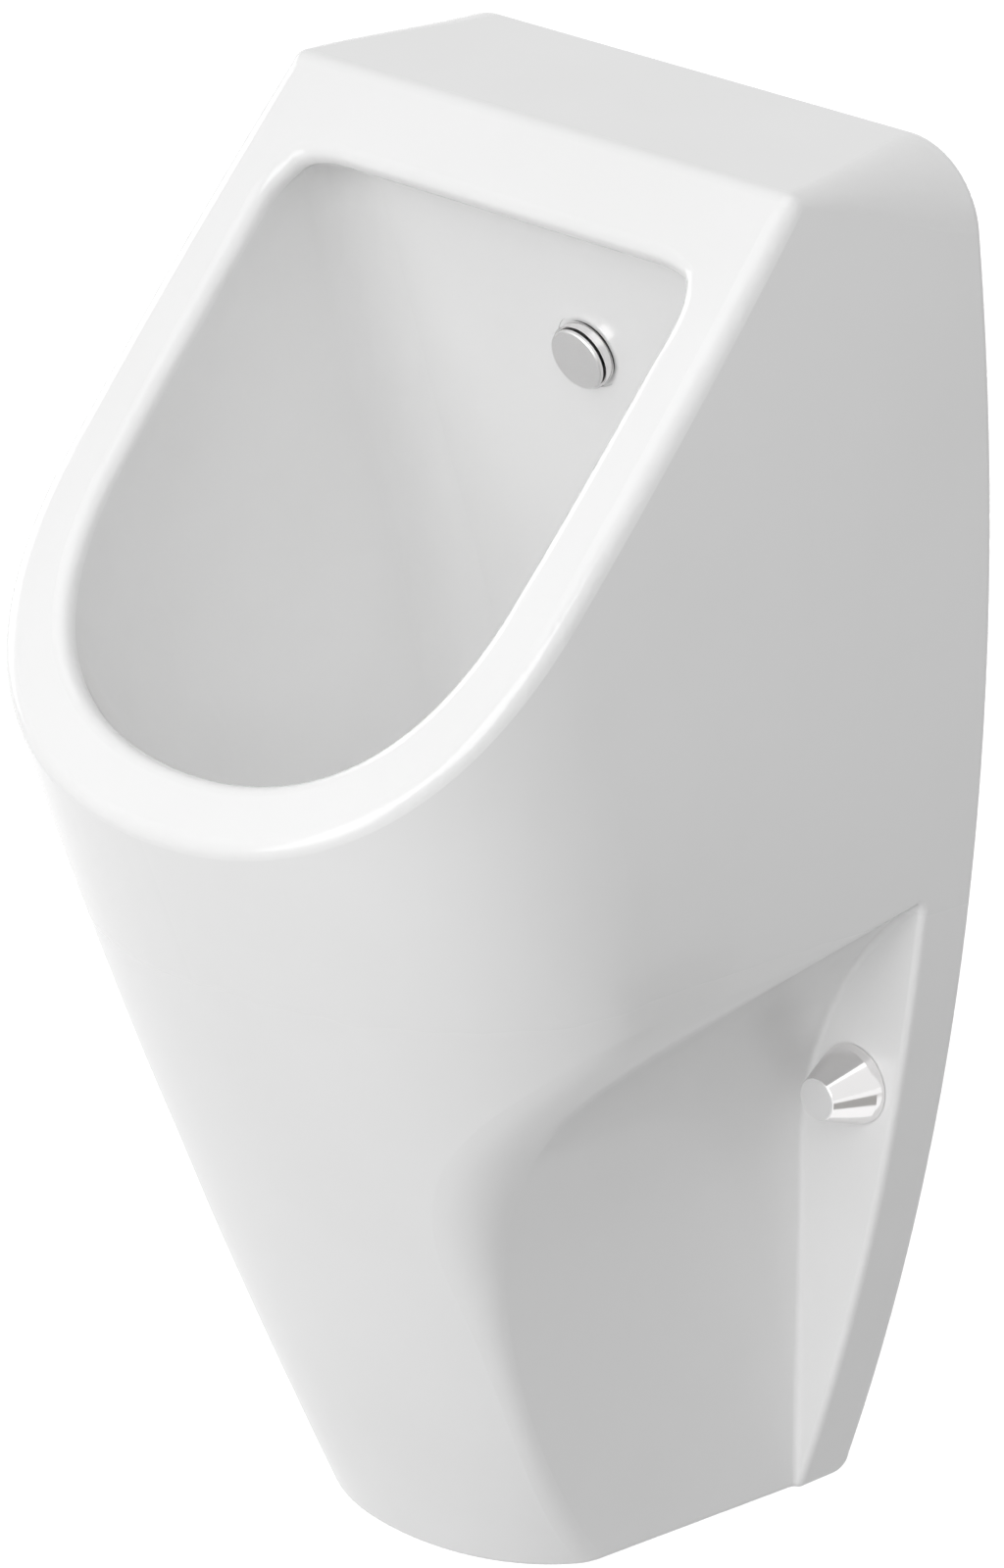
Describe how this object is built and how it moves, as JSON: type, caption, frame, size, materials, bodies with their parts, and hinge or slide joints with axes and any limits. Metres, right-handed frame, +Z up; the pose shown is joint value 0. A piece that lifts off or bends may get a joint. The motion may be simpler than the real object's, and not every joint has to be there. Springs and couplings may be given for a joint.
{
  "type": "urinal",
  "caption": "Wall-hung china urinal with a sloping open bowl, side scoops round a stem, a rear spray head, a loose strainer, a hidden trap and capped wall fixings.",
  "frame": {"origin": "on the wall plane at the back of the china, midway between the two fixing studs", "axes": "+X to the right of someone facing it, +Y into the wall, +Z up"},
  "size_m": [0.3044, 0.3407, 0.5644],
  "materials": {
    "glazed_china": "glossy white glaze",
    "satin_chrome": "satin chrome plate",
    "polished_chrome": "polished chrome plate",
    "brass_fittings": "machined brass",
    "stainless": "brushed stainless steel",
    "zinc_steel": "zinc-plated steel",
    "black_rubber": "matt moulded rubber",
    "trap_plastic": "smooth moulded plastic",
    "nylon": "natural nylon"
  },
  "bodies": {
    "china": {"ceramic_body": "glazed_china", "spray_disc": "satin_chrome", "spray_body": "polished_chrome", "spray_seal": "black_rubber", "inlet_washer": "zinc_steel", "inlet_locknut": "brass_fittings", "inlet_union_seal": "black_rubber", "inlet_union_nut": "brass_fittings", "inlet_pipe": "polished_chrome", "outlet_seal": "black_rubber", "trap_body": "trap_plastic", "trap_plug": "trap_plastic", "trap_plug_seal": "black_rubber", "wall_studs": "zinc_steel", "stud_sleeves": "nylon", "cap_carriers": "nylon", "stud_washers": "zinc_steel", "stud_nuts": "zinc_steel", "hanger_bracket_left": "zinc_steel", "hanger_bracket_right": "zinc_steel", "hanger_pads": "black_rubber", "bracket_screws": "zinc_steel"},
    "cap_left": {"cover_cap_left": "polished_chrome"},
    "cap_right": {"cover_cap_right": "polished_chrome"},
    "strainer": {"drain_strainer": "stainless"}
  },
  "joints": [
    {"name": "cap_left_pull", "type": "slide", "parent": "china", "child": "cap_left", "axis": [0, -1, 0], "range_m": [0, 0.012]},
    {"name": "cap_right_pull", "type": "slide", "parent": "china", "child": "cap_right", "axis": [0, -1, 0], "range_m": [0, 0.012]},
    {"name": "strainer_lift", "type": "slide", "parent": "china", "child": "strainer", "axis": [0, 0, 1], "range_m": [0, 0.04]}
  ]
}
